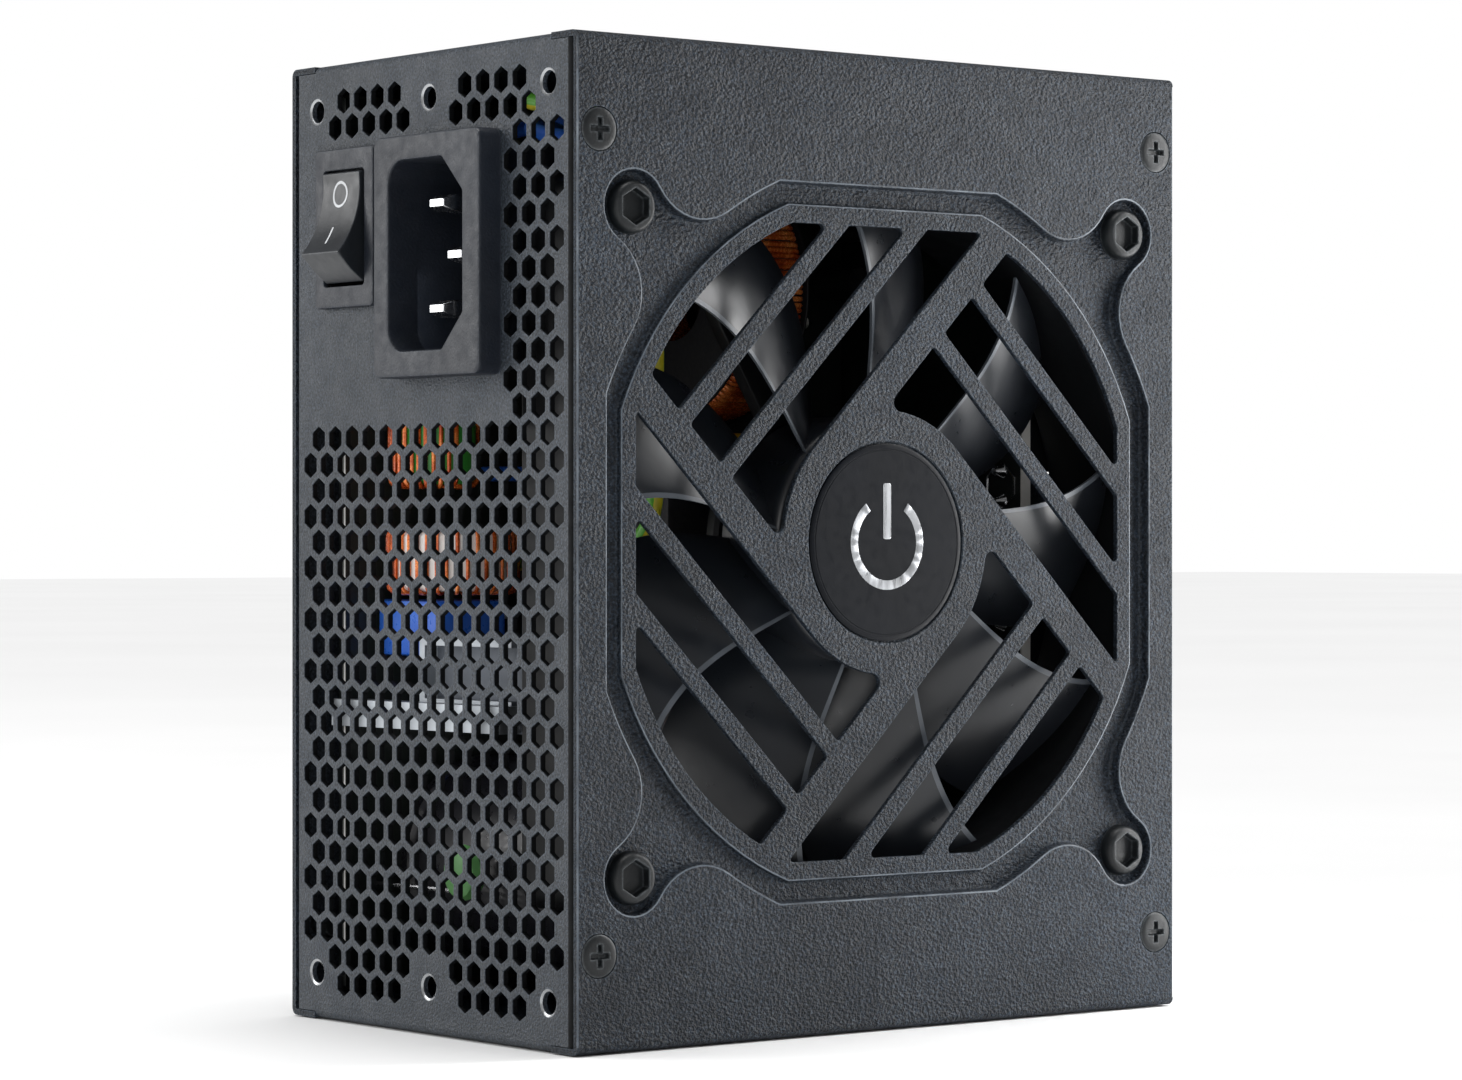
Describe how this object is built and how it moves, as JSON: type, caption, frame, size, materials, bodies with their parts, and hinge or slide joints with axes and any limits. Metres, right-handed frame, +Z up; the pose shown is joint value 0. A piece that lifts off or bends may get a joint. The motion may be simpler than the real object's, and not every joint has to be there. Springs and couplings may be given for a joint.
{
  "type": "power supply unit",
  "caption": "Small-form-factor computer power supply with a grilled fan face, a honeycomb rear panel with mains inlet and rocker switch, and output sockets.",
  "frame": {"origin": "middle of the narrow side that it stands on, at the housing's bottom, centred between the end panels and between the fan face and the base", "axes": "+Z up along the 125 mm side, -Y out of the fan face, -X out of the rear panel with the mains inlet, +X out of the output sockets"},
  "size_m": [0.1076, 0.0641, 0.125],
  "materials": {
    "case_coat": "slate powder coat, orange peel",
    "screw_black": "black oxide",
    "black_plastic": "fine moulded texture",
    "rocker_plastic": "satin",
    "tinned_metal": "bright tin",
    "fan_plastic": "glossy",
    "copper_wire": "enamelled copper",
    "ferrite": "sintered",
    "choke_green": "coated core with copper windings",
    "badge": "satin navy",
    "circuit_board": "solder mask",
    "insulation": "translucent film",
    "capacitor_sleeve": "heat-shrink sleeve",
    "output_sleeve": "heat-shrink sleeve",
    "transformer_tape": "polyester tape over a dark core",
    "film_blue": "moulded box",
    "disc_green": "epoxy",
    "rectifier_black": "epoxy",
    "heatsink_metal": "extruded",
    "wire_earth": "green and yellow sleeve",
    "wire_brown": "sleeve",
    "wire_blue": "sleeve",
    "wire_black": "sleeve",
    "button_grey": "satin"
  },
  "bodies": {
    "housing": {"rear_panel": "case_coat", "fan_cover": "case_coat", "base_cover": "case_coat", "socket_panel": "case_coat", "fan_cover_screw_1": "screw_black", "fan_cover_screw_2": "screw_black", "fan_cover_screw_3": "screw_black", "fan_cover_screw_4": "screw_black", "base_cover_screw_1": "screw_black", "base_cover_screw_2": "screw_black", "base_cover_screw_3": "screw_black", "base_cover_screw_4": "screw_black", "fan_screw_1": "screw_black", "fan_screw_2": "screw_black", "fan_screw_3": "screw_black", "fan_screw_4": "screw_black", "inlet_body": "black_plastic", "switch_body": "black_plastic", "board_socket_18": "black_plastic", "board_socket_10": "black_plastic", "power_socket_8_a": "black_plastic", "power_socket_8_b": "black_plastic", "power_socket_8_c": "black_plastic", "power_socket_8_d": "black_plastic", "drive_socket_6_a": "black_plastic", "drive_socket_6_b": "black_plastic", "drive_socket_6_c": "black_plastic", "fan_mode_switch": "black_plastic", "inlet_pin_line": "tinned_metal", "inlet_pin_earth": "tinned_metal", "inlet_pin_neutral": "tinned_metal", "fan_frame": "fan_plastic", "fan_spider": "fan_plastic", "fan_stator": "copper_wire", "boost_choke": "copper_wire", "line_choke": "copper_wire", "common_mode_choke": "choke_green", "grille_badge": "badge", "main_board": "circuit_board", "socket_board": "circuit_board", "insulation_sheet": "insulation", "bulk_capacitor": "capacitor_sleeve", "output_capacitor_a": "output_sleeve", "output_capacitor_b": "output_sleeve", "main_transformer": "transformer_tape", "standby_transformer": "transformer_tape", "film_capacitor": "film_blue", "disc_capacitor": "disc_green", "bridge_rectifier": "rectifier_black", "primary_heatsink": "heatsink_metal", "secondary_heatsink": "heatsink_metal", "earth_wire": "wire_earth", "line_wire": "wire_brown", "neutral_wire": "wire_blue", "fan_lead": "wire_black"},
    "fan": {"fan_rotor": "fan_plastic", "fan_shaft": "tinned_metal", "fan_magnet_ring": "ferrite"},
    "rocker": {"switch_rocker": "rocker_plastic"},
    "mode_button": {"fan_mode_button": "button_grey"}
  },
  "joints": [
    {"name": "fan_spin", "type": "hinge", "parent": "housing", "child": "fan", "pos_m": [0, -0.023, 0.0625], "axis": [0, -1, 0], "continuous": true},
    {"name": "rocker_tilt", "type": "hinge", "parent": "housing", "child": "rocker", "pos_m": [-0.04744, 0.0178, 0.10335], "axis": [0, -1, 0], "range_deg": [0, 34.8]},
    {"name": "mode_button_press", "type": "slide", "parent": "housing", "child": "mode_button", "axis": [-1, 0, 0], "range_m": [0, 0.0018], "stiffness_N_per_m": 300}
  ]
}
